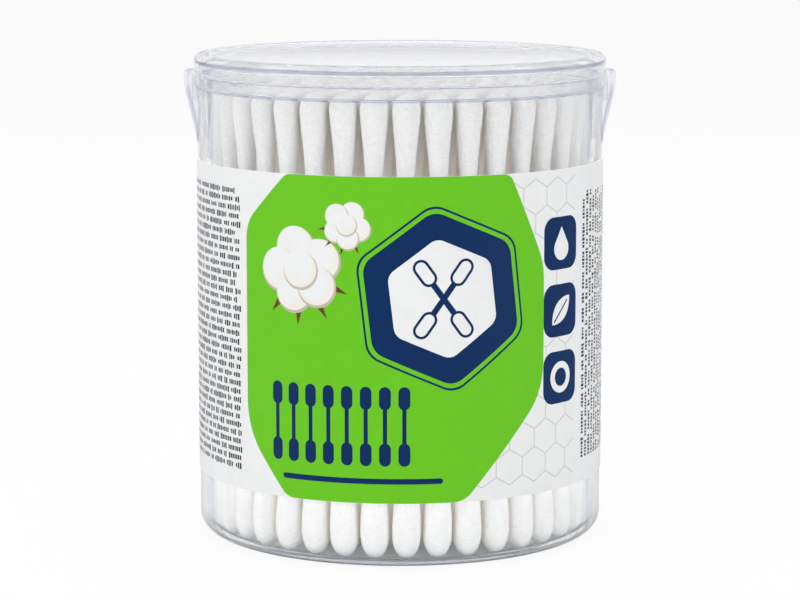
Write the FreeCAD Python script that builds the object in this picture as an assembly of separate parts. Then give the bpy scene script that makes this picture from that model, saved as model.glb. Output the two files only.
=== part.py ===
import FreeCAD, Part
import os
from math import asin, cos, degrees, pi, sin, tan

# Clear round tub of cotton swabs with a lift-off lid. Origin: centre of the base, +Z up,
# the two side ears on the X axis. Millimetres.

# Tub
body_radius = 34.0
wall = 1.1
floor_thickness = 0.85
foot_height = 0.3
foot_width = 2.4
bottom_corner = 3.3
neck_wall = 0.7
neck_height = 2.1

# Swabs, standing in rings one inside the other
swab_length = 75.0
bud_diameter = 4.85
bud_length = 17.0
bud_belly = 4.0
bud_tip_diameter = 2.9
bud_neck_diameter = 2.7
stick_diameter = 2.3
bud_gap = 0.13
wall_gap = 0.07
floor_gap = 0.1
first_swab = 0.7  # share of a spacing, from +X to the first swab of a ring
bud_sides = 6
stick_sides = 4

# Lid
head_space = 2.85
plate_thickness = 1.0
raised_rim_width = 2.2
raised_rim_height = 0.6
rim_bevel = 0.3
skirt_wall = 0.8
lid_edge = 1.3
lid_clearance = 0.15
seat_clearance = 0.05
skirt_clearance = 0.2
rim_rise = 1.05
stop_overlap = 0.5

# Ears
ear_width = 10.5
ear_thickness = 1.4
ear_rise = 0.5
ear_slot_clearance = 0.2
ear_slot_depth = 2.2
ear_taper_height = 7.8
ear_swell_height = 3.1
ear_swell = 0.45
ear_corner = 2.0
ear_edge = 0.4

# Every rounded corner of the tub and lid
corner_chords = 3

# Label
label_bottom = 10.9
label_height = 52.5
label_thickness = 0.15
label_gap = 0.03

# Places that follow from the sizes above
inner_radius = body_radius - wall
floor_top = foot_height + floor_thickness
swab_bottom = floor_top + floor_gap
swab_top = swab_bottom + swab_length
rim_top = swab_top + rim_rise
shoulder = rim_top - neck_height
neck_radius = inner_radius + neck_wall
skirt_inner = neck_radius + lid_clearance
lid_radius = skirt_inner + skirt_wall
lid_seat = rim_top + seat_clearance
skirt_bottom = shoulder + skirt_clearance
plate_underside = swab_top + head_space
plate_top = plate_underside + plate_thickness
lid_top = plate_top + raised_rim_height
ear_inner = lid_radius + ear_slot_clearance
ear_radius = ear_inner + ear_thickness
ear_top = rim_top + ear_rise
slot_bottom = shoulder - ear_slot_depth
bud_radius = bud_diameter / 2
pitch = bud_diameter + bud_gap


def rounded_face(corners):
    """A face in the XZ plane from corners (x, z, radius), each one rounded in a few short chords."""
    outline = []
    for i, (x, z, radius) in enumerate(corners):
        corner = FreeCAD.Vector(x, 0, z)
        if not radius:
            outline.append(corner)
            continue
        back = direction(corners[i], corners[i - 1])
        ahead = direction(corners[i], corners[(i + 1) % len(corners)])
        half_angle = back.getAngle(ahead) / 2
        middle = (back + ahead).normalize()
        run = radius / tan(half_angle)
        depth = radius / sin(half_angle) - radius
        arc = Part.Arc(corner + back * run, corner + middle * depth, corner + ahead * run)
        outline += arc.toShape().discretize(corner_chords + 1)
    return Part.Face(Part.makePolygon(outline + outline[:1]))


def direction(start, end):
    return FreeCAD.Vector(end[0] - start[0], 0, end[1] - start[1]).normalize()


def turned(face, angle=360):
    """The face swept round the Z axis, to both sides of where it lies."""
    start = face.copy()
    start.rotate(FreeCAD.Vector(), FreeCAD.Vector(0, 0, 1), -angle / 2)
    return start.revolve(FreeCAD.Vector(), FreeCAD.Vector(0, 0, 1), angle)


def tub_body():
    foot_outer = body_radius - bottom_corner
    return turned(rounded_face([
        (0, foot_height, 0),
        (foot_outer - foot_width, foot_height, 0),
        (foot_outer - foot_width + foot_height, 0, 0),
        (body_radius, 0, bottom_corner),
        (body_radius, shoulder, 0),
        (neck_radius, shoulder, 0),
        (neck_radius, rim_top, 0),
        (inner_radius, rim_top, 0),
        (inner_radius, floor_top, bottom_corner - wall),
        (0, floor_top, 0),
    ]))


def ear():
    """A lug that stands outside the lid's skirt and runs down into the wall in a long taper."""
    root = body_radius - wall / 2
    taper_top = slot_bottom + ear_edge
    taper_bottom = taper_top - ear_taper_height
    lug = rounded_face([
        (root, taper_bottom, 0),
        (body_radius, taper_bottom, 0),
        (ear_radius - ear_swell, taper_top, 0),
        (ear_radius, taper_top + ear_swell_height, 0),
        (ear_radius, ear_top, ear_edge),
        (ear_inner, ear_top, 0),
        (ear_inner, slot_bottom, 0),
        (root, slot_bottom, 0),
    ])
    spread = 2 * degrees(asin(ear_width / ear_inner))
    front = rounded_face([
        (-ear_width / 2, taper_bottom, 0),
        (ear_width / 2, taper_bottom, 0),
        (ear_width / 2, ear_top, ear_corner),
        (-ear_width / 2, ear_top, ear_corner),
    ])
    front.rotate(FreeCAD.Vector(), FreeCAD.Vector(0, 0, 1), 90)
    return turned(lug, spread).common(front.extrude(FreeCAD.Vector(ear_radius + ear_edge, 0, 0)))


def tub():
    right = ear()
    left = right.copy()
    left.rotate(FreeCAD.Vector(), FreeCAD.Vector(0, 0, 1), 180)
    return tub_body().fuse([right, left]).removeSplitter()


def lid():
    stop_inner = neck_radius - stop_overlap
    rim_inner = lid_radius - raised_rim_width
    return turned(rounded_face([
        (0, plate_underside, 0),
        (stop_inner, plate_underside, 0),
        (stop_inner, lid_seat, 0),
        (skirt_inner, lid_seat, 0),
        (skirt_inner, skirt_bottom, 0),
        (lid_radius, skirt_bottom, 0),
        (lid_radius, lid_top, lid_edge),
        (rim_inner, lid_top, 0),
        (rim_inner - rim_bevel, plate_top, 0),
        (0, plate_top, 0),
    ]))


def label():
    inside = body_radius + label_gap
    outside = inside + label_thickness
    top = label_bottom + label_height
    return turned(rounded_face([
        (inside, label_bottom, 0),
        (outside, label_bottom, 0),
        (outside, top, 0),
        (inside, top, 0),
    ]))


def tapered_bar(levels, sides):
    """A many-sided bar along Z through levels (z, diameter), flat at both ends."""
    rings = []
    for z, diameter in levels:
        angles = [2 * pi * (k + 0.5) / sides for k in range(sides)]
        rings.append([FreeCAD.Vector(diameter / 2 * cos(a), diameter / 2 * sin(a), z) for a in angles])
    outlines = [rings[0], rings[-1]]
    for below, above in zip(rings, rings[1:]):
        for k in range(sides):
            outlines.append([below[k - 1], below[k], above[k], above[k - 1]])
    faces = [Part.Face(Part.makePolygon(outline + outline[:1])) for outline in outlines]
    return Part.makeSolid(Part.makeShell(faces))


def bud(tip, inward):
    """Cotton wound on one end of a stick: tip is the height of its end, inward is 1 or -1."""
    return tapered_bar(sorted([
        (tip, bud_tip_diameter),
        (tip + inward * bud_belly, bud_diameter),
        (tip + inward * bud_length, bud_neck_diameter),
    ]), bud_sides)


def blunt_bud():
    """A lower bud behind the outer ring, where its rounded tip can't be seen."""
    return tapered_bar([
        (swab_bottom, bud_diameter),
        (swab_bottom + bud_length, bud_neck_diameter),
    ], bud_sides)


def stick():
    return tapered_bar([
        (swab_bottom + bud_length, stick_diameter),
        (swab_top - bud_length, stick_diameter),
    ], stick_sides)


def swab_rings():
    """Radius and number of swabs of each ring, evenly spaced from the wall to the one at the centre."""
    outermost = inner_radius - wall_gap - bud_radius
    steps = int(outermost / pitch)
    radii = [outermost * (steps - k) / steps for k in range(steps)]
    return [(radius, int(2 * pi * radius / pitch)) for radius in radii] + [(0, 1)]


def in_ring(shape, radius, count):
    copies = []
    for k in range(count):
        copy = shape.copy()
        copy.translate(FreeCAD.Vector(radius, 0, 0))
        copy.rotate(FreeCAD.Vector(), FreeCAD.Vector(0, 0, 1), 360 * (k + first_swab) / count)
        copies.append(copy)
    return Part.makeCompound(copies)


nodes = {"tub": tub(), "lid": lid(), "label": label()}
for number, (radius, count) in enumerate(swab_rings(), start=1):
    lower = bud(swab_bottom, 1) if number == 1 else blunt_bud()
    nodes[f"ring_{number}_sticks"] = in_ring(stick(), radius, count)
    nodes[f"ring_{number}_lower_buds"] = in_ring(lower, radius, count)
    nodes[f"ring_{number}_upper_buds"] = in_ring(bud(swab_top, -1), radius, count)

os.makedirs("parts", exist_ok=True)
for name, shape in nodes.items():
    shape.exportStep(f"parts/{name}.step")
    box = shape.BoundBox
    print(name, len(shape.Solids), shape.isValid(), round(shape.Volume, 2), round(box.ZMin, 2), round(box.ZMax, 2))
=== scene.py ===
import math
import random

import bmesh
import bpy
import numpy as np
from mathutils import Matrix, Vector, geometry

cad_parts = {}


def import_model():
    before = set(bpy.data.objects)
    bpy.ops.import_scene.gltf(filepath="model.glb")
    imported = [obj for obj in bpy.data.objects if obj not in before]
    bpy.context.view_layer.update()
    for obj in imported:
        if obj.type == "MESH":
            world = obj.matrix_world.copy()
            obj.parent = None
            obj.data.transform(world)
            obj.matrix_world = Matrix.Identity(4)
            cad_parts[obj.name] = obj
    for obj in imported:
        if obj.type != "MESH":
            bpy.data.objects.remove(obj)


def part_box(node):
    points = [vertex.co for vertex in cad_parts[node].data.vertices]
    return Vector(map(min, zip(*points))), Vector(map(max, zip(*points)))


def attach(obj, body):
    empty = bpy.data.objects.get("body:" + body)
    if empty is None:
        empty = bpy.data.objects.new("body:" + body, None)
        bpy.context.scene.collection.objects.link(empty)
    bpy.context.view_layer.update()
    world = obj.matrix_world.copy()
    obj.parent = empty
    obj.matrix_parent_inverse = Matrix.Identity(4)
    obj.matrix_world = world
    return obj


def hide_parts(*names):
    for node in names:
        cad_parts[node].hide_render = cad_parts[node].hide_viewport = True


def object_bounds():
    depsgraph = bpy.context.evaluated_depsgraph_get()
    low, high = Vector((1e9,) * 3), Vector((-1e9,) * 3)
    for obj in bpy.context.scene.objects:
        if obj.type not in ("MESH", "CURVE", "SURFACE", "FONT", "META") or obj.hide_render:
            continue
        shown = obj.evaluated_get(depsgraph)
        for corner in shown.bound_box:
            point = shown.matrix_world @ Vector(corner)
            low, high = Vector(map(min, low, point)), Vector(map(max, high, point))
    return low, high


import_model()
cad_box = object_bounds()

# Sizes in metres, as the model has them
MM = 0.001
TAU = 2 * math.pi
WALL = 1.1 * MM
FLOOR_THICKNESS = 0.85 * MM
FOOT_HEIGHT = 0.3 * MM
FOOT_WIDTH = 2.4 * MM
BOTTOM_CORNER = 3.3 * MM
NECK_WALL = 0.7 * MM
NECK_HEIGHT = 2.1 * MM
RIM_RISE = 1.05 * MM
TUB_FILLET = 0.2 * MM
LID_EDGE = 1.3 * MM
LID_FILLET = 0.12 * MM
PLATE_THICKNESS = 1.0 * MM
RAISED_RIM_WIDTH = 2.2 * MM
RAISED_RIM_HEIGHT = 0.6 * MM
RIM_BEVEL = 0.3 * MM
SKIRT_WALL = 0.8 * MM
STOP_OVERLAP = 0.5 * MM
STOP_FILLET = 0.5 * MM
SEAT_CLEARANCE = 0.05 * MM
EAR_WIDTH = 10.5 * MM
EAR_THICKNESS = 1.4 * MM
EAR_SLOT_DEPTH = 2.2 * MM
EAR_TAPER = 7.8 * MM
EAR_SWELL_HEIGHT = 3.1 * MM
EAR_SWELL = 0.45 * MM
EAR_CORNER = 2.0 * MM
EAR_EDGE = 0.4 * MM
EAR_SINK = 0.05 * MM
BUD_DIAMETER = 4.85 * MM
BUD_NECK_RADIUS = 1.3 * MM
BUD_LENGTH = 17.0 * MM
BUD_GAP = 0.13 * MM
WALL_GAP = 0.07 * MM
STICK_DIAMETER = 2.3 * MM
FIRST_SWAB = 0.7

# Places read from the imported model
_, tub_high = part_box("tub")
lid_low, lid_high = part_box("lid")
label_low, label_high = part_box("label")
_, upper_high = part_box("ring_1_upper_buds")
lower_low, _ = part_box("ring_1_lower_buds")
BODY_RADIUS = tub_high.y
INNER_RADIUS = BODY_RADIUS - WALL
FLOOR_TOP = FOOT_HEIGHT + FLOOR_THICKNESS
SWAB_BOTTOM = lower_low.z
SWAB_TOP = upper_high.z
RIM_TOP = SWAB_TOP + RIM_RISE
SHOULDER = RIM_TOP - NECK_HEIGHT
NECK_RADIUS = INNER_RADIUS + NECK_WALL
LID_RADIUS = lid_high.y
LID_TOP = lid_high.z
LID_SEAT = RIM_TOP + SEAT_CLEARANCE
SKIRT_BOTTOM = lid_low.z
SKIRT_INNER = LID_RADIUS - SKIRT_WALL
RIM_INNER = LID_RADIUS - RAISED_RIM_WIDTH
PLATE_TOP = LID_TOP - RAISED_RIM_HEIGHT
PLATE_UNDERSIDE = PLATE_TOP - PLATE_THICKNESS
EAR_TOP = tub_high.z
EAR_RADIUS = tub_high.x
EAR_INNER = EAR_RADIUS - EAR_THICKNESS
SLOT_BOTTOM = SHOULDER - EAR_SLOT_DEPTH
LABEL_RADIUS = label_high.y

# Meshing
LATHE_SEGMENTS = 320
ARC_STEPS = 12
LONG_RUN = 1.5 * MM
HELD_EDGE = 0.1 * MM
ON_AXIS = 1e-6 * MM
SMOOTH_ANGLE = math.radians(9.5)
FACET_ANGLE = math.radians(32)


def make_object(name, points, faces):
    mesh = bpy.data.meshes.new(name)
    mesh.from_pydata(points, [], faces)
    mesh.update()
    obj = bpy.data.objects.new(name, mesh)
    bpy.context.scene.collection.objects.link(obj)
    return obj


def shade_smooth(obj, angle=SMOOTH_ANGLE):
    mesh = obj.data
    mesh.polygons.foreach_set("use_smooth", [True] * len(mesh.polygons))
    mesh.set_sharp_from_angle(angle=angle)


def fix_normals(obj):
    work = bmesh.new()
    work.from_mesh(obj.data)
    bmesh.ops.recalc_face_normals(work, faces=work.faces)
    work.to_mesh(obj.data)
    work.free()


def apply_modifiers(obj):
    evaluated = obj.evaluated_get(bpy.context.evaluated_depsgraph_get())
    mesh = bpy.data.meshes.new_from_object(evaluated)
    obj.modifiers.clear()
    obj.data = mesh


def rounded(corners):
    """The outline (r, z) through corners (r, z, radius), each rounded by an arc."""
    outline = []
    for i, (r, z, radius) in enumerate(corners):
        corner = Vector((r, z))
        if not radius:
            outline.append(corner)
            continue
        back = (Vector(corners[i - 1][:2]) - corner).normalized()
        ahead = (Vector(corners[(i + 1) % len(corners)][:2]) - corner).normalized()
        half_angle = back.angle(ahead) / 2
        centre = corner + (back + ahead).normalized() * radius / math.sin(half_angle)
        start = corner + back * radius / math.tan(half_angle) - centre
        end = corner + ahead * radius / math.tan(half_angle) - centre
        turn = math.atan2(start.x * end.y - start.y * end.x, start.dot(end))
        for k in range(ARC_STEPS + 1):
            a = turn * k / ARC_STEPS
            outline.append(centre + Vector((
                start.x * math.cos(a) - start.y * math.sin(a),
                start.x * math.sin(a) + start.y * math.cos(a),
            )))
    return outline


def held_flat(outline):
    """The outline with a point close to each end of its long straight runs, so they shade flat."""
    held = []
    for i, point in enumerate(outline):
        held.append(Vector(point))
        run = Vector(outline[(i + 1) % len(outline)]) - held[-1]
        if run.length > LONG_RUN:
            edge = run.normalized() * HELD_EDGE
            held += [held[-1] + edge, held[-1] + run - edge]
    return held


def lathe(name, outline):
    """A closed outline (r, z) turned round the Z axis; points on the axis become poles."""
    points = []
    rows = []
    for r, z in held_flat(outline):
        if r < ON_AXIS:
            rows.append([len(points)] * LATHE_SEGMENTS)
            points.append((0, 0, z))
            continue
        rows.append(list(range(len(points), len(points) + LATHE_SEGMENTS)))
        for k in range(LATHE_SEGMENTS):
            a = TAU * k / LATHE_SEGMENTS
            points.append((r * math.cos(a), r * math.sin(a), z))
    faces = []
    for i, row in enumerate(rows):
        other = rows[(i + 1) % len(rows)]
        if row[0] == row[1] and other[0] == other[1]:
            continue
        for k in range(LATHE_SEGMENTS):
            m = (k + 1) % LATHE_SEGMENTS
            loop = [row[k], row[m], other[m], other[k]]
            faces.append(list(dict.fromkeys(loop)))
    obj = make_object(name, points, faces)
    fix_normals(obj)
    return obj


# Material nodes

def nodes_of(name):
    material = bpy.data.materials.new(name)
    material.use_nodes = True
    tree = material.node_tree
    return material, tree, tree.nodes["Principled BSDF"], tree.nodes["Material Output"]


def put(tree, value, socket):
    """Gives a socket a value, or links another node's output to it."""
    if isinstance(value, bpy.types.NodeSocket):
        tree.links.new(value, socket)
    else:
        socket.default_value = value


def fill(tree, node, **inputs):
    """Fills a node's sockets by name, with _ for a space."""
    for key, value in inputs.items():
        put(tree, value, node.inputs[key.replace("_", " ")])


def add(tree, kind, **inputs):
    """A new node; keywords with a capital name its sockets, the others its settings."""
    node = tree.nodes.new(kind)
    for key, value in inputs.items():
        if key[0].isupper():
            fill(tree, node, **{key: value})
        else:
            setattr(node, key, value)
    return node


def grain(tree, scale, detail, stretch=(1, 1, 1), distortion=0.0):
    """Noise over the object's own coordinates, squeezed along each axis by stretch."""
    where = add(tree, "ShaderNodeTexCoord").outputs["Object"]
    mapped = add(tree, "ShaderNodeMapping", Vector=where, Scale=stretch).outputs["Vector"]
    noise = add(tree, "ShaderNodeTexNoise", Vector=mapped, Scale=scale, Detail=detail, Distortion=distortion)
    return noise.outputs["Fac"]


def bump(tree, height, strength, distance, **under):
    """A bumped normal, over the one given as Normal, if any."""
    node = add(tree, "ShaderNodeBump", Height=height, Strength=strength, Distance=distance, **under)
    return node.outputs["Normal"]


def spread(tree, value, low, high, start=0.0, end=1.0):
    """A value from start to end mapped to low..high, and held there outside."""
    node = add(tree, "ShaderNodeMapRange", Value=value, From_Min=start, From_Max=end, To_Min=low, To_Max=high)
    return node.outputs["Result"]


def computed(tree, operation, *values):
    node = add(tree, "ShaderNodeMath", operation=operation)
    for value, socket in zip(values, node.inputs):
        put(tree, value, socket)
    return node.outputs[0]


def mixed_colour(tree, factor, first, second, blend="MIX"):
    """Two colours mixed, each of them (red, green, blue) or another node's output."""
    node = add(tree, "ShaderNodeMix", data_type="RGBA", blend_type=blend, Factor=factor)
    for colour, socket in ((first, node.inputs[6]), (second, node.inputs[7])):
        put(tree, (*colour, 1) if isinstance(colour, tuple) else colour, socket)
    return node.outputs[2]


def mixed_shader(tree, factor, first, second):
    node = add(tree, "ShaderNodeMixShader", Fac=factor)
    tree.links.new(first, node.inputs[1])
    tree.links.new(second, node.inputs[2])
    return node.outputs["Shader"]


# Materials

# Clear plastic goes over from its face-on share to its grazing share between these, 0 face on and 1 edge on
FACE_ON, GRAZING = 0.68, 0.77

# Colours of the cotton's painted glow: warm for the inner buds, pale for the outer ones
WARM_GLOW = (1.0, 0.83, 0.52, 1)
PALE_GLOW = (1.0, 0.995, 0.98, 1)
# Painted shade: the warm dark colour the cotton takes in its crevices
CREVICE_SHADE_COLOUR = (0.55, 0.50, 0.42)
TOP_FADE = 3 * MM, 13 * MM
FLOOR_FADE = 8 * MM
INK_DARKER, INK_LIGHTER = 0.95, 1.04


def clear_plastic(name, bend, straight_shares, gloss, tint):
    """Moulded polystyrene: bends light softly, tints it a little and lets the lamps through.

    Some light goes straight on: one share where it is seen face on, another at a grazing angle."""
    material, tree, shader, output = nodes_of(name)
    flow = grain(tree, scale=420, detail=3, stretch=(1, 1, 0.06), distortion=0.3)
    haze = grain(tree, scale=900, detail=2, stretch=(1, 1, 0.3), distortion=0.6)
    fill(tree, shader, Base_Color=(*tint, 1), Transmission_Weight=1.0, IOR=bend)
    fill(tree, shader, Coat_Weight=gloss, Coat_IOR=1.5, Coat_Roughness=0.02)
    fill(tree, shader, Roughness=spread(tree, haze, 0.0, 0.01))
    fill(tree, shader, Normal=bump(tree, flow, strength=0.04, distance=0.2 * MM))
    straight = add(tree, "ShaderNodeBsdfTransparent", Color=(*tint, 1)).outputs["BSDF"]
    facing = add(tree, "ShaderNodeLayerWeight", Blend=0.5).outputs["Facing"]
    share = spread(tree, facing, *straight_shares, FACE_ON, GRAZING)
    plastic = mixed_shader(tree, share, shader.outputs["BSDF"], straight)
    rays = add(tree, "ShaderNodeLightPath")
    open_way = add(tree, "ShaderNodeBsdfTransparent", Color=(0.99, 0.99, 0.995, 1)).outputs["BSDF"]
    surface = mixed_shader(tree, rays.outputs["Is Shadow Ray"], plastic, open_way)
    fill(tree, output, Surface=surface)
    return material


def cotton(name, glow, inside):
    """Wound cotton wool, with shade painted into its crevices.

    The glow stands in for light scattered many times between the swabs."""
    material, tree, shader, _ = nodes_of(name)
    if inside:
        fill(tree, shader, Emission_Color=WARM_GLOW, Emission_Strength=middle_share(tree, glow))
    else:
        fill(tree, shader, Emission_Color=PALE_GLOW, Emission_Strength=glow)
    clumps = grain(tree, scale=1500, detail=4, stretch=(1, 1, 0.7), distortion=0.8)
    fibres = grain(tree, scale=3200, detail=3, stretch=(1, 1, 1.5), distortion=1.0)
    felt = spread(tree, fibres, 0.0, 1.0, start=0.34, end=0.62)
    wool = mixed_colour(tree, felt, (0.80, 0.785, 0.765), (0.91, 0.90, 0.888))
    # Painted shade: ambient occlusion turns the colour towards the crevice shade where the buds touch
    crevices = add(tree, "ShaderNodeAmbientOcclusion", samples=6, only_local=True, Distance=1.5 * MM)
    openness = spread(tree, crevices.outputs["AO"], 0.0, 1.0, start=0.15, end=0.7)
    fill(tree, shader, Base_Color=mixed_colour(tree, openness, CREVICE_SHADE_COLOUR, wool))
    soft = bump(tree, clumps, strength=0.8, distance=0.25 * MM)
    fill(tree, shader, Normal=bump(tree, fibres, strength=0.9, distance=0.14 * MM, Normal=soft))
    fill(tree, shader, Roughness=1.0, Specular_IOR_Level=0.1, Sheen_Weight=0.25, Sheen_Roughness=0.6)
    return material


def middle_share(tree, most):
    """Most between the swabs' ends, fading to 0 towards the open top and the floor of the tub."""
    where = add(tree, "ShaderNodeTexCoord").outputs["Object"]
    height = add(tree, "ShaderNodeSeparateXYZ", Vector=where).outputs["Z"]
    below_top = spread(tree, height, 0.0, most, start=SWAB_TOP - TOP_FADE[0], end=SWAB_TOP - TOP_FADE[1])
    above_floor = spread(tree, height, 0.0, 1.0, start=SWAB_BOTTOM, end=SWAB_BOTTOM + FLOOR_FADE)
    return computed(tree, "MULTIPLY", below_top, above_floor)


def rolled_paper():
    material, tree, shader, _ = nodes_of("rolled_paper")
    rolls = grain(tree, scale=1800, detail=2, stretch=(0.3, 0.3, 1))
    fill(tree, shader, Base_Color=mixed_colour(tree, rolls, (0.80, 0.77, 0.70), (0.90, 0.88, 0.83)))
    fill(tree, shader, Normal=bump(tree, rolls, strength=0.3, distance=0.05 * MM))
    fill(tree, shader, Roughness=0.85)
    return material


def film(name, darker, lighter):
    """The label film: two close colours mottled, on a faintly wavy surface."""
    material, tree, shader, _ = nodes_of(name)
    mottle = grain(tree, scale=420, detail=4)
    waves = grain(tree, scale=90, detail=2)
    fill(tree, shader, Base_Color=mixed_colour(tree, mottle, darker, lighter))
    fill(tree, shader, Normal=bump(tree, waves, strength=0.08, distance=0.3 * MM))
    return material, tree, shader


def ink(name, colour):
    """One printed colour of the label, with a soft gloss."""
    darker = tuple(c * INK_DARKER for c in colour)
    lighter = tuple(min(1.0, c * INK_LIGHTER) for c in colour)
    material, tree, shader = film(name, darker, lighter)
    fill(tree, shader, Roughness=spread(tree, grain(tree, scale=1500, detail=2), 0.26, 0.40))
    fill(tree, shader, Specular_IOR_Level=0.12)
    return material


def film_inside():
    """The unprinted side of the film: a little glow stands in for light that comes through it."""
    material, tree, shader = film("film_inside", (0.78, 0.79, 0.80), (0.84, 0.845, 0.85))
    fill(tree, shader, Roughness=0.5, Emission_Color=(1.0, 1.0, 1.0, 1), Emission_Strength=0.5)
    return material


tub_plastic = clear_plastic("clear_plastic_tub", bend=1.12, straight_shares=(0.88, 0.15), gloss=0.2,
                            tint=(0.985, 0.99, 0.997))
lid_plastic = clear_plastic("clear_plastic_lid", bend=1.35, straight_shares=(0.82, 0.45), gloss=0.35,
                            tint=(0.995, 0.997, 1.0))
plate_plastic = clear_plastic("clear_plastic_plate", bend=1.35, straight_shares=(0.6, 0.1), gloss=1.0,
                              tint=(0.98, 0.985, 1.0))
# Painted shade: tinted dark, for the dark lines along the tub's and lid's edges; the ear's copy below is
# tinted a little greyer
edge_shade_plastic = clear_plastic("clear_plastic_edge_shade", bend=1.5, straight_shares=(0.1, 0.1), gloss=0.5,
                             tint=(0.46, 0.51, 0.65))
# Painted shade: tinted grey-blue, for the shaded band round the tub's base
base_shade_plastic = clear_plastic("clear_plastic_base_shade", bend=1.2, straight_shares=(0.4, 0.1), gloss=0.3,
                             tint=(0.66, 0.69, 0.735))
ear_plastic = clear_plastic("clear_plastic_ear", bend=1.3, straight_shares=(0.3, 0.3), gloss=0.3,
                            tint=(0.88, 0.89, 0.93))
# Painted light: the lower buds glow most, so they look brighter than the upper ones
upper_cotton = cotton("wound_cotton_upper", glow=0.03, inside=False)
lower_cotton = cotton("wound_cotton_lower", glow=0.16, inside=False)
inner_cotton = cotton("wound_cotton_inner", glow=0.09, inside=True)
paper_material = rolled_paper()


# Tub and lid

SWELL_POWER = 1.8
TAPER_ROWS, UPRIGHT_ROWS, CORNER_ROWS = 10, 8, 12
EAR_COLUMNS = 18

# Faces with a plastic of their own, some tinted dark as painted shade: how far they reach from an edge, and
# what counts as level or outside
FILLET_REACH = 1.05
TOP_EDGE_REACH = 0.13 * MM
SIDE_EDGE_REACH = 0.35 * MM
UNDERSIDE_REACH = 0.3 * MM
EDGE_BAND = 1 * MM
LEVEL = 0.001 * MM
ON_PLATE = 0.01 * MM
OFF_WALL = 0.15 * MM


def ear_outer(z):
    """Radius of the ear's outer face at height z."""
    taper_top = SLOT_BOTTOM + EAR_EDGE
    taper_bottom = taper_top - EAR_TAPER
    swell_top = taper_top + EAR_SWELL_HEIGHT
    knee = EAR_RADIUS - EAR_SWELL
    if z < taper_top:
        share = (z - taper_bottom) / EAR_TAPER
        return BODY_RADIUS - EAR_SINK + (knee - BODY_RADIUS + EAR_SINK) * share
    if z < swell_top:
        share = (z - taper_top) / EAR_SWELL_HEIGHT
        return knee + EAR_SWELL * (1 - (1 - share) ** SWELL_POWER)
    past_edge = max(z - (EAR_TOP - EAR_EDGE), 0)
    return EAR_RADIUS - (EAR_EDGE - math.sqrt(max(EAR_EDGE ** 2 - past_edge ** 2, 0)))


def ear(name, side):
    """The lug outside the lid's skirt, from its tapered root up; side is 1 or -1, for +X or -X."""
    root = BODY_RADIUS - WALL / 2
    bottom = SLOT_BOTTOM + EAR_EDGE - EAR_TAPER
    corner_start = EAR_TOP - EAR_CORNER
    levels = [(bottom + (SLOT_BOTTOM - bottom) * k / TAPER_ROWS, root) for k in range(TAPER_ROWS + 1)]
    for k in range(UPRIGHT_ROWS + 1):
        levels.append((SLOT_BOTTOM + (corner_start - SLOT_BOTTOM) * k / UPRIGHT_ROWS, EAR_INNER))
    for k in range(1, CORNER_ROWS + 1):
        levels.append((EAR_TOP - EAR_CORNER * (1 - math.sin(math.pi / 2 * k / CORNER_ROWS)), EAR_INNER))
    points = []
    for z, inner in levels:
        rise = max(z - corner_start, 0)
        half = EAR_WIDTH / 2 - (EAR_CORNER - math.sqrt(max(EAR_CORNER ** 2 - rise ** 2, 0)))
        ring = [(ear_outer(z), -half + 2 * half * k / EAR_COLUMNS) for k in range(EAR_COLUMNS + 1)]
        ring += [(inner, half - 2 * half * k / EAR_COLUMNS) for k in range(EAR_COLUMNS + 1)]
        for r, y in ring:
            points.append((side * math.sqrt(r * r - y * y), side * y, z))
    size = 2 * (EAR_COLUMNS + 1)
    faces = [list(range(size))[::-1], list(range(len(points) - size, len(points)))]
    for row in range(len(levels) - 1):
        for k in range(size):
            a = row * size + k
            b = row * size + (k + 1) % size
            faces.append([a, b, b + size, a + size])
    obj = make_object(name, points, faces)
    fix_normals(obj)
    return obj


def join_solids(obj, *others):
    for other in others:
        union = obj.modifiers.new("union", "BOOLEAN")
        union.operation = "UNION"
        union.solver = "EXACT"
        union.object = other
    apply_modifiers(obj)
    for other in others:
        bpy.data.objects.remove(other)


def mark_faces(obj, material, chosen):
    """Gives a material to the faces whose corners chosen picks."""
    obj.data.materials.append(material)
    index = len(obj.data.materials) - 1
    for face in obj.data.polygons:
        if chosen([obj.data.vertices[k].co for k in face.vertices]):
            face.material_index = index


def from_axis(corner):
    return math.hypot(corner.x, corner.y)


def near_edges(*heights):
    """Picks sloped or upright faces within reach of a height, for each (height, reach)."""
    def chosen(corners):
        low = min(corner.z for corner in corners)
        high = max(corner.z for corner in corners)
        outside = max(map(from_axis, corners)) > INNER_RADIUS - EDGE_BAND
        sloped = high - low > LEVEL
        return outside and sloped and any(z - reach <= low and high <= z + reach for z, reach in heights)
    return chosen


def on_plate(corners):
    return all(corner.z > PLATE_TOP - ON_PLATE and from_axis(corner) < RIM_INNER for corner in corners)


def on_base(corners):
    foot = BODY_RADIUS - BOTTOM_CORNER - FOOT_WIDTH
    return all(corner.z < BOTTOM_CORNER / 2 and from_axis(corner) > foot for corner in corners)


def on_ear(corners):
    return max(map(from_axis, corners)) > BODY_RADIUS + OFF_WALL


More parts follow.
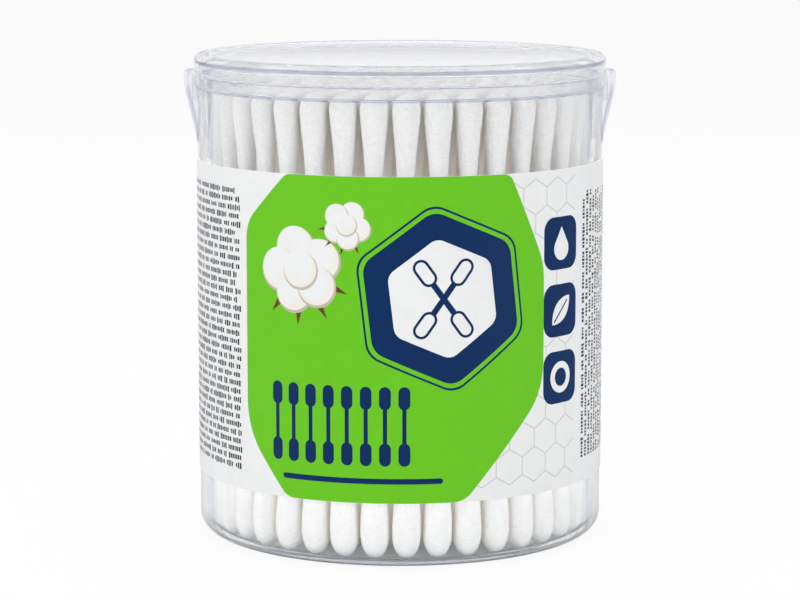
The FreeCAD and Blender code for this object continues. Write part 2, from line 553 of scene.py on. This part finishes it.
def build_tub():
    foot_outer = BODY_RADIUS - BOTTOM_CORNER
    tub = lathe("tub_shell", rounded([
        (0, FOOT_HEIGHT, 0),
        (foot_outer - FOOT_WIDTH, FOOT_HEIGHT, TUB_FILLET),
        (foot_outer - FOOT_WIDTH + FOOT_HEIGHT, 0, TUB_FILLET),
        (BODY_RADIUS, 0, BOTTOM_CORNER),
        (BODY_RADIUS, SHOULDER, TUB_FILLET),
        (NECK_RADIUS, SHOULDER, 0),
        (NECK_RADIUS, RIM_TOP, TUB_FILLET),
        (INNER_RADIUS, RIM_TOP, TUB_FILLET),
        (INNER_RADIUS, FLOOR_TOP, BOTTOM_CORNER - WALL),
        (0, FLOOR_TOP, 0),
    ]))
    join_solids(tub, ear("ear_right", 1), ear("ear_left", -1))
    tub.data.materials.append(tub_plastic)
    reach = FILLET_REACH * TUB_FILLET
    # Painted shade: dark plastic on the faces round the rim's and shoulder's edges, and grey-blue plastic on
    # the base
    mark_faces(tub, edge_shade_plastic, near_edges((RIM_TOP, reach), (SHOULDER, reach)))
    mark_faces(tub, ear_plastic, on_ear)
    mark_faces(tub, base_shade_plastic, on_base)
    return tub


def build_lid():
    stop_inner = NECK_RADIUS - STOP_OVERLAP
    lid = lathe("lid_shell", rounded([
        (0, PLATE_UNDERSIDE, 0),
        (stop_inner, PLATE_UNDERSIDE, STOP_FILLET),
        (stop_inner, LID_SEAT, LID_FILLET),
        (SKIRT_INNER, LID_SEAT, LID_FILLET),
        (SKIRT_INNER, SKIRT_BOTTOM, LID_FILLET),
        (LID_RADIUS, SKIRT_BOTTOM, LID_FILLET),
        (LID_RADIUS, LID_TOP, LID_EDGE),
        (RIM_INNER, LID_TOP, LID_FILLET),
        (RIM_INNER - RIM_BEVEL, PLATE_TOP, LID_FILLET),
        (0, PLATE_TOP, 0),
    ]))
    lid.data.materials.append(lid_plastic)
    mark_faces(lid, plate_plastic, on_plate)
    reach = FILLET_REACH * LID_FILLET
    # Painted shade: dark plastic on the faces round the lid's edges
    mark_faces(lid, edge_shade_plastic, near_edges(
        (LID_TOP, TOP_EDGE_REACH), (LID_TOP - LID_EDGE, SIDE_EDGE_REACH),
        (PLATE_UNDERSIDE + UNDERSIDE_REACH, 2 * UNDERSIDE_REACH), (LID_SEAT, reach), (SKIRT_BOTTOM, reach),
    ))
    return lid


tub = build_tub()
lid = build_lid()
for shell, node in ((tub, "tub"), (lid, "lid")):
    shade_smooth(shell)
    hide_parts(node)
    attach(shell, node)


# Swabs

# A bud's form: where it is widest, how blunt its tip is, and the two powers of its taper
UPPER_FORM = (2.9 * MM, 2.2, 1.15, 1.8)
LOWER_FORM = (4.5 * MM, 2.3, 1.5, 1.3)
ROWS_TO_TIP = 1.6

# How buds differ: width, raised tips, lean, and waves of the winding
BUD_WIDTHS = 0.965, 1.0
UPPER_LIFT = 0.2 * MM
BUD_LEAN = 0.012
WAVES = 7
WAVE_DEPTH = 0.006
WAVE_SHARES = 0.3, 1
WAVE_TURNS = 6
WAVE_TWIST = 900
TUFT_HEIGHT = 0.07 * MM
TUFT_SMOOTHING = 2
CLOSED_END = 0.2 * MM

# Loose fibres: length in millimetres, how far they stand up and stray, and how they point off the tip
FIBRE_LENGTHS = 0.1, 0.32
FIBRE_RADIUS = 0.022 * MM
FIBRE_ROOT = 0.05 * MM
FIBRE_RISE = 0.15, 0.9
FIBRE_STRAY = 0.55
OFF_THE_TIP = 1.2
OFF_THE_WALL = 0.02 * MM
OFF_PARALLEL = 1e-6

# A bud's mesh: corners round it, rows along it and loose fibres
OUTER_MESH = (40, 40, 240)
INNER_UPPER_MESH = (26, 24, 0)
INNER_LOWER_MESH = (18, 16, 0)
LOWER_SEEDS = 20

STICK_SIDES = 20
STICK_IN_BUD = 5 * MM


def bud_outline(steps, form):
    """(distance from the tip, radius) along a bud: an egg-shaped tip, then a long taper."""
    belly_at, bluntness, taper_start, taper_end = form
    belly = BUD_DIAMETER / 2
    outline = []
    for k in range(1, steps + 1):
        share = k / steps
        s = BUD_LENGTH * share ** ROWS_TO_TIP
        if s < belly_at:
            r = belly * (1 - (1 - s / belly_at) ** bluntness) ** (1 / bluntness)
        else:
            t = (s - belly_at) / (BUD_LENGTH - belly_at)
            r = BUD_NECK_RADIUS + (belly - BUD_NECK_RADIUS) * (1 - t ** taper_start) ** taper_end
        outline.append((s, r))
    return np.array(outline)


def tufts(source, steps, around):
    """Smooth random heights over a bud, about -1 to 1, that meet round it."""
    field = source.normal(0, 1, (steps, around))
    for _ in range(TUFT_SMOOTHING):
        field = (field + np.roll(field, 1, 1) + np.roll(field, -1, 1)) / 3
        field[1:-1] = (field[:-2] + field[1:-1] + field[2:]) / 3
    return field / np.abs(field).max()


def unit(rows):
    return rows / np.linalg.norm(rows, axis=1)[:, None]


def loose_fibres(source, surface, axis, count, first):
    """Thin spikes that lie half up from a bud's surface: points and faces, numbered from first."""
    steps, around, _ = surface.shape
    rows = source.integers(0, steps - 2, count)
    columns = source.integers(0, around, count)
    root = surface[rows, columns]
    normal = root - axis
    normal[:, 2] = 0
    normal = unit(normal)
    tip_share = np.clip(1 - np.abs(root[:, 2] - surface[0, 0, 2]) / BUD_DIAMETER, 0, 1)
    normal[:, 2] = np.sign(surface[0, 0, 2] - surface[-1, 0, 2]) * tip_share * OFF_THE_TIP
    normal = unit(normal)
    lean = source.normal(0, 1, (count, 3))
    ahead = unit(normal * source.uniform(*FIBRE_RISE, count)[:, None] + lean * FIBRE_STRAY)
    end = root + ahead * source.uniform(*FIBRE_LENGTHS, count)[:, None] * MM
    reach = np.hypot(end[:, 0], end[:, 1])
    inside = np.minimum(1, (INNER_RADIUS - OFF_THE_WALL) / reach)
    end[:, :2] *= inside[:, None]
    side = unit(np.cross(ahead, normal + OFF_PARALLEL))
    other = np.cross(ahead, side)
    root = root - normal * FIBRE_ROOT
    corners = []
    for a in (0, TAU / 3, 2 * TAU / 3):
        corners.append(root + FIBRE_RADIUS * (side * math.cos(a) + other * math.sin(a)))
    points = np.stack([*corners, end], axis=1).reshape(-1, 3).tolist()
    faces = []
    for k in range(count):
        a = first + 4 * k
        faces += [(a, a + 1, a + 3), (a + 1, a + 2, a + 3), (a + 2, a, a + 3), (a + 2, a + 1, a)]
    return points, faces


def bud_surface(source, outline, around, place, tip, inward):
    """The point at a bud's tip and a grid of points over it, with its own winding, width and lean."""
    angles = np.arange(around) * TAU / around
    s = outline[:, 0][:, None]
    width = source.uniform(*BUD_WIDTHS)
    lift = source.uniform(0, UPPER_LIFT) if inward < 0 else 0
    lean = source.uniform(-BUD_LEAN, BUD_LEAN, 2)
    r = outline[:, 1][:, None] * width * np.ones((1, around))
    for _ in range(WAVES):
        turns = source.integers(1, WAVE_TURNS + 1)
        twist = source.uniform(-WAVE_TWIST, WAVE_TWIST)
        depth = WAVE_DEPTH * source.uniform(*WAVE_SHARES)
        r = r * (1 + depth * np.sin(turns * angles[None, :] + twist * s + source.uniform(0, TAU)))
    r = np.minimum(r + TUFT_HEIGHT * tufts(source, len(outline), around), BUD_DIAMETER / 2)
    x = place[0] + r * np.cos(angles) + lean[0] * s
    y = place[1] + r * np.sin(angles) + lean[1] * s
    z = tip + inward * (lift + s * (1 - lift / BUD_LENGTH)) * np.ones((1, around))
    return (*place, tip + inward * lift), np.stack([x, y, z], axis=-1)


def wound_cotton(name, places, tip, inward, mesh_size, seed):
    """Buds of one ring as one mesh; inward is -1 for upper buds and 1 for lower ones."""
    around, steps, fibres = mesh_size
    source = np.random.default_rng(seed)
    outline = bud_outline(steps, UPPER_FORM if inward < 0 else LOWER_FORM)
    points = []
    faces = []
    for place in places:
        start, surface = bud_surface(source, outline, around, place, tip, inward)
        end_x, end_y, end_z = (surface[-1, :, k].mean() for k in range(3))
        base = len(points)
        points.append(start)
        points += surface.reshape(-1, 3).tolist()
        points.append((end_x, end_y, end_z + inward * CLOSED_END))
        first = base + 1
        last = len(points) - 1
        for k in range(around):
            m = (k + 1) % around
            faces.append((base, first + k, first + m))
            faces.append((last, last - around + m, last - around + k))
            for i in range(steps - 1):
                a = first + i * around
                faces.append((a + k, a + around + k, a + around + m, a + m))
        if fibres:
            more = loose_fibres(source, surface, np.array((*place, 0)), fibres, len(points))
            points += more[0]
            faces += more[1]
    obj = make_object(name, points, faces)
    fix_normals(obj)
    shade_smooth(obj, math.pi)
    return obj


def sticks(name, places):
    points = []
    faces = []
    for x, y in places:
        base = len(points)
        for z in (SWAB_BOTTOM + STICK_IN_BUD, SWAB_TOP - STICK_IN_BUD):
            for k in range(STICK_SIDES):
                a = TAU * k / STICK_SIDES
                points.append((x + STICK_DIAMETER / 2 * math.cos(a), y + STICK_DIAMETER / 2 * math.sin(a), z))
        faces.append([base + k for k in range(STICK_SIDES)][::-1])
        faces.append([base + STICK_SIDES + k for k in range(STICK_SIDES)])
        for k in range(STICK_SIDES):
            m = (k + 1) % STICK_SIDES
            faces.append([base + k, base + m, base + STICK_SIDES + m, base + STICK_SIDES + k])
    obj = make_object(name, points, faces)
    shade_smooth(obj, FACET_ANGLE)
    obj.data.materials.append(paper_material)
    return obj


def swab_rings():
    """Radius and number of swabs of each ring, from the wall to the one at the centre."""
    pitch = BUD_DIAMETER + BUD_GAP
    outermost = INNER_RADIUS - WALL_GAP - BUD_DIAMETER / 2
    steps = int(outermost / pitch)
    radii = [outermost * (steps - k) / steps for k in range(steps)]
    return [(radius, int(TAU * radius / pitch)) for radius in radii] + [(0, 1)]


def ring_places(radius, count):
    angles = [TAU * (k + FIRST_SWAB) / count for k in range(count)]
    return [(radius * math.cos(a), radius * math.sin(a)) for a in angles]


def dress(obj, node):
    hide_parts(node)
    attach(obj, "tub")


for number, (radius, count) in enumerate(swab_rings(), start=1):
    places = ring_places(radius, count)
    outer = number == 1
    upper = wound_cotton(f"cotton_upper_{number}", places, tip=SWAB_TOP, inward=-1,
                         mesh_size=OUTER_MESH if outer else INNER_UPPER_MESH, seed=number)
    lower = wound_cotton(f"cotton_lower_{number}", places, tip=SWAB_BOTTOM, inward=1,
                         mesh_size=OUTER_MESH if outer else INNER_LOWER_MESH, seed=LOWER_SEEDS + number)
    upper.data.materials.append(upper_cotton if outer else inner_cotton)
    lower.data.materials.append(lower_cotton if outer else inner_cotton)
    dress(upper, f"ring_{number}_upper_buds")
    dress(lower, f"ring_{number}_lower_buds")
    dress(sticks(f"paper_sticks_{number}", places), f"ring_{number}_sticks")


# Label: shapes (u, v) in millimetres, u round the tub from the front, v up from the lower edge

LABEL_HEIGHT = (label_high.z - label_low.z) / MM
LABEL_FILM = 0.1
LABEL_OVERLAP = 6.0
OVERLAP_LIFT = 0.12
OVERLAP_EASE = 2.0
FILM_INSET = 0.02
FILM_COLUMNS = 190
WRAP = LABEL_RADIUS / MM * math.pi
DISC_SIDES = 40
CAP_SIDES = 10

INKS = {
    "film_white": (0.78, 0.785, 0.79),
    "ink_green": (0.135, 0.515, 0.014),
    "ink_navy": (0.002, 0.024, 0.100),
    "ink_pale_grey": (0.56, 0.57, 0.58),
    "ink_cream": (0.80, 0.76, 0.70),
    "ink_shade": (0.50, 0.45, 0.39),
    "ink_brown": (0.13, 0.05, 0.02),
    "ink_black": (0.035, 0.035, 0.04),
}

# Where the drawings stand
FIELD_LEFT, FIELD_RIGHT = -27.7, 25.5
FIELD_CUT = 8.5
FIELD_MARGIN = 0.02
BADGE = 7.0, 33.0
BADGE_TURN = math.pi / 2 + 0.12
BADGE_SWABS = 0.95, 2.2
BADGE_RINGS = (("ink_navy", 15.4, 3.5), ("ink_green", 15.0, 3.4), ("ink_navy", 14.2, 3.2),
               ("film_white", 9.8, 2.2))
LARGE_PUFF = (-16.5, 37.0, 7.2, 0.25)
SMALL_PUFF = (-8.6, 44.6, 4.0, -0.5)
ROW_START, ROW_PITCH, ROW_AT, ROW_COUNT = -21.0, 3.1, 12.5, 8
ICON_AT, ICON_SIZE, ICON_CORNER = 29.8, 8.6, 2.2
ICON_ROWS = 40.5, 29.5, 18.5

# A drawn swab's stem, where its buds start and their fill, as shares of its bud or length
ICON_STEM, ICON_BUD_START, ICON_FILL = 0.36, 0.66, 0.68

# A tuft's lobes (x, y, radius), their layers (ink, x, y, share of the lobe) and bracts, as shares of its size
LOBES = ((0.0, 0.52, 0.50), (-0.52, 0.14, 0.50), (0.52, 0.12, 0.50), (-0.28, -0.42, 0.47),
         (0.30, -0.42, 0.47), (0.0, 0.02, 0.44))
LOBE_LAYERS = ("ink_shade", 0, 0, 1), ("ink_cream", -0.02, 0.035, 0.94), ("film_white", -0.06, 0.09, 0.80)
BRACTS, BRACT_TURN, BRACT_ROOT, BRACT_TIP, BRACT_WIDTH = 4, 0.62, 0.35, 1.22, 0.2

# Small print: marks in groups
MARK_WIDTHS = 0.3, 0.5
MARK_HEIGHTS = 0.76, 0.76, 0.76, 1.0, 0.6
MARK_GAP = 0.16
GROUP_SIZES = 2, 8
GROUP_GAPS = 0.45, 0.7


def smooth(corners):
    """A closed outline through corners (u, v, radius)."""
    return [tuple(p) for p in rounded(corners)]


def disc(u, v, r):
    angles = [TAU * k / DISC_SIDES for k in range(DISC_SIDES)]
    return [(u + r * math.cos(a), v + r * math.sin(a)) for a in angles]


def polygon(u, v, r, sides, corner=0.0, turn=0.0):
    """A regular polygon with rounded corners."""
    angles = [turn + TAU * k / sides for k in range(sides)]
    return smooth([(u + r * math.cos(a), v + r * math.sin(a), corner) for a in angles])


def box(u, v, width, height, corner=0.0):
    return smooth([
        (u - width / 2, v - height / 2, corner), (u + width / 2, v - height / 2, corner),
        (u + width / 2, v + height / 2, corner), (u - width / 2, v + height / 2, corner),
    ])


def capsule(start, end, r):
    """A rounded bar between two points."""
    along = math.atan2(end[1] - start[1], end[0] - start[0])
    outline = []
    for centre, turn in ((end, -math.pi / 2), (start, math.pi / 2)):
        for k in range(CAP_SIDES + 1):
            a = along + turn + math.pi * k / CAP_SIDES
            outline.append((centre[0] + r * math.cos(a), centre[1] + r * math.sin(a)))
    return outline


def line(start, end, width):
    along = math.atan2(end[1] - start[1], end[0] - start[0])
    du, dv = -math.sin(along) * width / 2, math.cos(along) * width / 2
    return [(start[0] + du, start[1] + dv), (start[0] - du, start[1] - dv),
            (end[0] - du, end[1] - dv), (end[0] + du, end[1] + dv)]


def swab_icon(u, v, length, turn, bud, ink_name, fill_name=None):
    """A small swab about (u, v); with a fill its buds are outlined."""
    du = math.cos(turn) * length / 2
    dv = math.sin(turn) * length / 2
    shapes = [(ink_name, capsule((u - du, v - dv), (u + du, v + dv), bud * ICON_STEM))]
    for side in (-1, 1):
        start = (u + side * du * ICON_BUD_START, v + side * dv * ICON_BUD_START)
        ends = (u + side * du, v + side * dv), start
        shapes.append((ink_name, capsule(*ends, bud)))
        if fill_name:
            shapes.append((fill_name, capsule(*ends, bud * ICON_FILL)))
    return shapes


def puff(u, v, size, turn):
    """A tuft of cotton: brown bracts behind, then soft lobes with a shaded lower edge."""
    shapes = []
    for k in range(BRACTS):
        a = turn - math.pi / 2 + (k - (BRACTS - 1) / 2) * BRACT_TURN
        tip = (u + BRACT_TIP * size * math.cos(a), v + BRACT_TIP * size * math.sin(a))
        side = (BRACT_WIDTH * size * math.sin(a), -BRACT_WIDTH * size * math.cos(a))
        root = (u + BRACT_ROOT * size * math.cos(a), v + BRACT_ROOT * size * math.sin(a))
        shapes.append(("ink_brown", [(root[0] + side[0], root[1] + side[1]), tip,
                                     (root[0] - side[0], root[1] - side[1])]))
    for x, y, r in LOBES:
        cu = u + size * (x * math.cos(turn) - y * math.sin(turn))
        cv = v + size * (x * math.sin(turn) + y * math.cos(turn))
        for ink_name, du, dv, share in LOBE_LAYERS:
            shapes.append((ink_name, disc(cu + du * size, cv + dv * size, r * size * share)))
    return shapes


def leaf(u, v, length, width, turn):
    steps, fullness = 12, 0.8
    outline = []
    for side in (-1, 1):
        for k in range(steps):
            t = k / steps if side < 0 else 1 - k / steps
            x = (t - 0.5) * length
            y = side * width / 2 * math.sin(math.pi * t) ** fullness
            outline.append((u + x * math.cos(turn) - y * math.sin(turn),
                            v + x * math.sin(turn) + y * math.cos(turn)))
    return outline


def drop(u, v, r):
    """A round drop: its point, then an arc from its left shoulder round to the right one."""
    steps, point, shoulder, arc = 24, 1.9, 150, 240
    outline = [(u, v + point * r)]
    for k in range(steps + 1):
        a = math.radians(shoulder + arc * k / steps)
        outline.append((u + r * math.cos(a), v + r * math.sin(a)))
    return outline


def honeycomb(left, right, bottom, top, cell, width):
    """Outlines of a hexagonal net."""
    shapes = []
    row_step = cell * 1.5
    column_step = cell * math.sqrt(3)
    for row in range(int((top - bottom) / row_step) + 1):
        for column in range(int((right - left) / column_step) + 1):
            u = left + (column + 0.5 * (row % 2)) * column_step
            v = bottom + row * row_step
            for k in range(3):
                a = math.pi / 6 + math.pi / 3 * k
                b = a + math.pi / 3
                ends = [(u + cell * math.cos(t), v + cell * math.sin(t)) for t in (a, b)]
                if all(bottom < e[1] < top and left < e[0] < right for e in ends):
                    shapes.append(("ink_pale_grey", line(*ends, width)))
    return shapes


def small_print(left, right, bottom, top, pitch, upright, source):
    """Rows of tiny marks in groups, as dense print looks from a step away."""
    shapes = []
    length, depth = (top - bottom, right - left) if upright else (right - left, top - bottom)
    for row in range(int(depth / pitch)):
        across = (row + 0.5) * pitch
        along = 0.0
        while along < length - 1:
            for _ in range(source.randint(*GROUP_SIZES)):
                width = source.uniform(*MARK_WIDTHS)
                tall = source.choice(MARK_HEIGHTS)
                if along + width > length:
                    break
                if upright:
                    shapes.append(("ink_black", box(left + across, bottom + along + width / 2, tall, width)))
                else:
                    shapes.append(("ink_black", box(left + along + width / 2, bottom + across, width, tall)))
                along += width + MARK_GAP
            along += source.uniform(*GROUP_GAPS)
    return shapes


def green_field():
    low = FIELD_MARGIN
    top = LABEL_HEIGHT - FIELD_MARGIN
    return [("ink_green", smooth([
        (FIELD_LEFT + FIELD_CUT, top, 2), (FIELD_LEFT, top - FIELD_CUT, 6),
        (FIELD_LEFT, 10.5, 14), (FIELD_LEFT + FIELD_CUT, low, 3), (FIELD_RIGHT - 15, low, 4),
        (FIELD_RIGHT, 17, 12), (FIELD_RIGHT, top - 15, 12), (FIELD_RIGHT - 7, top, 2),
    ]))]


def badge():
    """A hexagon in rings of ink, with two crossed swabs."""
    shapes = []
    for ink_name, r, corner in BADGE_RINGS:
        shapes.append((ink_name, polygon(*BADGE, r, sides=6, corner=corner, turn=BADGE_TURN)))
    for turn in BADGE_SWABS:
        shapes += swab_icon(*BADGE, 12.4, turn, 1.35, "ink_navy", "film_white")
    return shapes


def swab_row():
    """Upright swabs side by side over a line."""
    shapes = []
    for k in range(ROW_COUNT):
        shapes += swab_icon(ROW_START + ROW_PITCH * k, ROW_AT, 11.0, math.pi / 2, 0.95, "ink_navy")
    return shapes + [("ink_navy", capsule((-19.5, 3.6), (6.5, 3.6), 0.45))]


def icon_square(v):
    return "ink_navy", box(ICON_AT, v, ICON_SIZE, ICON_SIZE, ICON_CORNER)


def icons():
    """Rounded squares with a drop, a leaf with its rib, and a ring."""
    drop_row, leaf_row, ring_row = ICON_ROWS
    return [
        icon_square(drop_row),
        ("film_white", drop(ICON_AT, drop_row - 0.9, 1.9)),
        icon_square(leaf_row),
        ("film_white", leaf(ICON_AT, leaf_row, 6.4, 3.2, 0.8)),
        ("ink_navy", line((28.0, leaf_row - 1.9), (31.4, leaf_row + 1.6), 0.28)),
        icon_square(ring_row),
        ("film_white", disc(ICON_AT, ring_row, 2.6)),
        ("ink_navy", disc(ICON_AT, ring_row, 1.5)),
    ]


def label_print():
    """All printed shapes as (ink, outline); a later one lies on top."""
    source = random.Random(7)
    shapes = honeycomb(left=6, right=34.6, bottom=0.6, top=LABEL_HEIGHT - 0.6, cell=2.9, width=0.2)
    shapes += green_field()
    shapes += small_print(left=-62, right=-29.2, bottom=3, top=LABEL_HEIGHT - 2,
                          pitch=1.37, upright=False, source=source)
    shapes += small_print(left=36, right=62, bottom=4, top=LABEL_HEIGHT - 4,
                          pitch=1.42, upright=True, source=source)
    shapes += badge()
    shapes += puff(*LARGE_PUFF)
    shapes += puff(*SMALL_PUFF)
    shapes += swab_row()
    return shapes + icons()


def wrapped(u, v):
    """A place on the flat film, wrapped round the tub; the end of the film rises over its start."""
    radius = LABEL_RADIUS / MM
    a = u / radius
    lift = OVERLAP_LIFT * min(max((u - (WRAP - OVERLAP_EASE)) / OVERLAP_EASE, 0), 1)
    reach = radius - FILM_INSET + lift
    return reach * math.sin(a) * MM, -reach * math.cos(a) * MM, label_low.z + v * MM


def print_film():
    """The film with its print as one mesh: triangles that follow every printed edge."""
    start, end = -WRAP, WRAP + LABEL_OVERLAP
    shapes = [("film_white", [(start, 0), (end, 0), (end, LABEL_HEIGHT), (start, LABEL_HEIGHT)])]
    shapes += label_print()
    points = []
    faces = []
    for _, outline in shapes:
        faces.append(list(range(len(points), len(points) + len(outline))))
        points += [Vector(p) for p in outline]
    edges = []
    for k in range(1, FILM_COLUMNS):
        u = start + (end - start) * k / FILM_COLUMNS
        edges.append((len(points), len(points) + 1))
        points += [Vector((u, 0)), Vector((u, LABEL_HEIGHT))]
    inside_only, merged_within = 1, 1e-5
    cut = geometry.delaunay_2d_cdt(points, edges, faces, inside_only, merged_within)
    flat, _, triangles, _, _, owners = cut
    obj = make_object("label_film", [wrapped(u, v) for u, v in flat], [list(t) for t in triangles])
    names = list(INKS)
    for name, colour in INKS.items():
        obj.data.materials.append(ink(name, colour))
    for face, owner in zip(obj.data.polygons, owners):
        face.material_index = names.index(shapes[max(owner)][0])
    obj.data.materials.append(film_inside())
    thicken(obj)
    return obj


def thicken(obj):
    """Gives the film its thickness, with its last material on the inside."""
    outer = len(obj.data.polygons)
    solid = obj.modifiers.new("film", "SOLIDIFY")
    solid.thickness = LABEL_FILM * MM
    solid.offset = -1
    apply_modifiers(obj)
    for face in obj.data.polygons[outer:]:
        face.material_index = len(obj.data.materials) - 1


label = print_film()
shade_smooth(label)
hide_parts("label")
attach(label, "tub")


# Floor, light and camera

WHITE = (1, 1, 1)
BLACK = (0, 0, 0)
AMBIENT = (0.55, 0.55, 0.55)
FRONT_TONE = (0.55, 0.56, 0.58)
SIDE_TONE = (0.40, 0.44, 0.55)
HORIZON_TONE = (0.56, 0.57, 0.63)
HORIZON = 0.067, 0.0705
OVERHEAD = 0.09, 0.3
FLOOR_HALF = 6.0
FLOOR_TO_CAMERA = 0.9
FLOOR_GLOW = 0.42, 0.9
FLOOR_REACH = 0.05, 0.16
CAMERA_PLACE = (0, -0.5077, 0.1148)
CAMERA_DOWN = math.radians(8.52)
LENS = 136.2
SENSOR = 36


def ramp_along(tree, direction, axis, stops):
    """A colour by one part of a direction, -1 to 1, through stops (place, colour)."""
    part = add(tree, "ShaderNodeSeparateXYZ", Vector=direction).outputs[axis]
    ramp = add(tree, "ShaderNodeValToRGB", Fac=spread(tree, part, 0.0, 1.0, start=-1.0, end=1.0))
    elements = ramp.color_ramp.elements
    for element, (place, colour) in zip(elements, (stops[0], stops[-1])):
        element.position = (place + 1) / 2
        element.color = (*colour, 1)
    for place, colour in stops[1:-1]:
        elements.new((place + 1) / 2).color = (*colour, 1)
    return ramp.outputs["Color"]


def through_plastic(tree, rays):
    """1 for rays that clear plastic bends or mirrors before they have lit anything."""
    either = computed(tree, "MAXIMUM", rays.outputs["Is Transmission Ray"], rays.outputs["Is Glossy Ray"])
    unlit = computed(tree, "LESS_THAN", rays.outputs["Diffuse Depth"], 0.5)
    return computed(tree, "MULTIPLY", either, unlit)


def studio_tone(tree, direction):
    """What the plastic mirrors: a dim front, white screens beside it, a grey-blue room, white behind."""
    around = ramp_along(tree, direction, "Y", (
        (-1.0, FRONT_TONE), (-0.8, FRONT_TONE), (-0.66, WHITE), (-0.12, WHITE),
        (0.02, SIDE_TONE), (0.78, SIDE_TONE), (0.92, WHITE), (1.0, WHITE),
    ))
    overhead = ramp_along(tree, direction, "Z", ((-1.0, BLACK), (OVERHEAD[0], BLACK), (OVERHEAD[1], WHITE)))
    return mixed_colour(tree, overhead, around, WHITE)


def floor():
    """Pale ground with a faint shadow: nearly white to the camera, the room's tones in the plastic."""
    corners = [(FLOOR_HALF * x, FLOOR_HALF * y, 0) for x, y in ((-1, -1), (1, -1), (1, 1), (-1, 1))]
    ground = make_object("floor", corners, [(0, 1, 2, 3)])
    material, tree, shader, output = nodes_of("pale_floor")
    tone = mixed_colour(tree, grain(tree, scale=4, detail=2), (0.86, 0.86, 0.86), (0.88, 0.88, 0.88))
    fill(tree, shader, Base_Color=tone, Roughness=0.9, Specular_IOR_Level=0.0)
    where = add(tree, "ShaderNodeTexCoord").outputs["Object"]
    direction = add(tree, "ShaderNodeVectorMath", operation="NORMALIZE")
    reach = add(tree, "ShaderNodeVectorMath", operation="LENGTH")
    for node in (direction, reach):
        tree.links.new(where, node.inputs[0])
    rays = add(tree, "ShaderNodeLightPath")
    bent = through_plastic(tree, rays)
    seen = mixed_colour(tree, bent, WHITE, studio_tone(tree, direction.outputs["Vector"]))
    glow = add(tree, "ShaderNodeEmission", Strength=1.0, Color=seen)
    far = spread(tree, reach.outputs["Value"], *FLOOR_GLOW, *FLOOR_REACH)
    mirrored = computed(tree, "MULTIPLY", far, bent)
    share = computed(tree, "MULTIPLY_ADD", rays.outputs["Is Camera Ray"], FLOOR_TO_CAMERA, mirrored)
    fill(tree, output, Surface=mixed_shader(tree, share, shader.outputs["BSDF"], glow.outputs["Emission"]))
    ground.data.materials.append(material)


def world():
    """Even light on the object, the studio with its horizon in the plastic, and white behind it all."""
    made = bpy.data.worlds.new("studio")
    bpy.context.scene.world = made
    made.use_nodes = True
    tree = made.node_tree
    light = tree.nodes["Background"]
    fill(tree, light, Color=(*AMBIENT, 1), Strength=1.0)
    direction = add(tree, "ShaderNodeTexCoord").outputs["Generated"]
    strip = ramp_along(tree, direction, "Z", (
        (-1.0, HORIZON_TONE), (HORIZON[0], HORIZON_TONE), (HORIZON[1], WHITE), (1.0, WHITE),
    ))
    shaded = mixed_colour(tree, 1.0, studio_tone(tree, direction), strip, blend="MULTIPLY")
    room = add(tree, "ShaderNodeBackground", Strength=1.0, Color=shaded).outputs["Background"]
    backdrop = add(tree, "ShaderNodeBackground", Strength=1.0, Color=(*WHITE, 1)).outputs["Background"]
    rays = add(tree, "ShaderNodeLightPath")
    lit = mixed_shader(tree, through_plastic(tree, rays), light.outputs["Background"], room)
    seen = mixed_shader(tree, rays.outputs["Is Camera Ray"], lit, backdrop)
    fill(tree, tree.nodes["World Output"], Surface=seen)


def lamp(name, place, size, power):
    data = bpy.data.lights.new(name, "AREA")
    data.shape = "RECTANGLE"
    data.size, data.size_y = size
    data.energy = power
    obj = bpy.data.objects.new(name, data)
    obj.location = place
    aim = Vector((0, 0, cad_box[1].z / 2)) - Vector(place)
    obj.rotation_euler = aim.to_track_quat("-Z", "Y").to_euler()
    obj.visible_transmission = False
    obj.visible_glossy = False
    obj.visible_camera = False
    bpy.context.scene.collection.objects.link(obj)


def camera():
    data = bpy.data.cameras.new("camera")
    data.lens = LENS
    data.sensor_width = SENSOR
    obj = bpy.data.objects.new("camera", data)
    obj.location = CAMERA_PLACE
    obj.rotation_euler = (math.pi / 2 - CAMERA_DOWN, 0, 0)
    bpy.context.scene.collection.objects.link(obj)
    bpy.context.scene.camera = obj


floor()
world()
lamp("key", place=(-0.75, -0.52, 0.28), size=(0.6, 0.5), power=3.1)
lamp("fill", place=(0.66, -0.6, 0.2), size=(0.6, 0.4), power=2.3)
lamp("top", place=(0.0, 0.1, 0.9), size=(0.8, 0.6), power=4.5)
camera()
bpy.context.scene.view_settings.view_transform = "Standard"
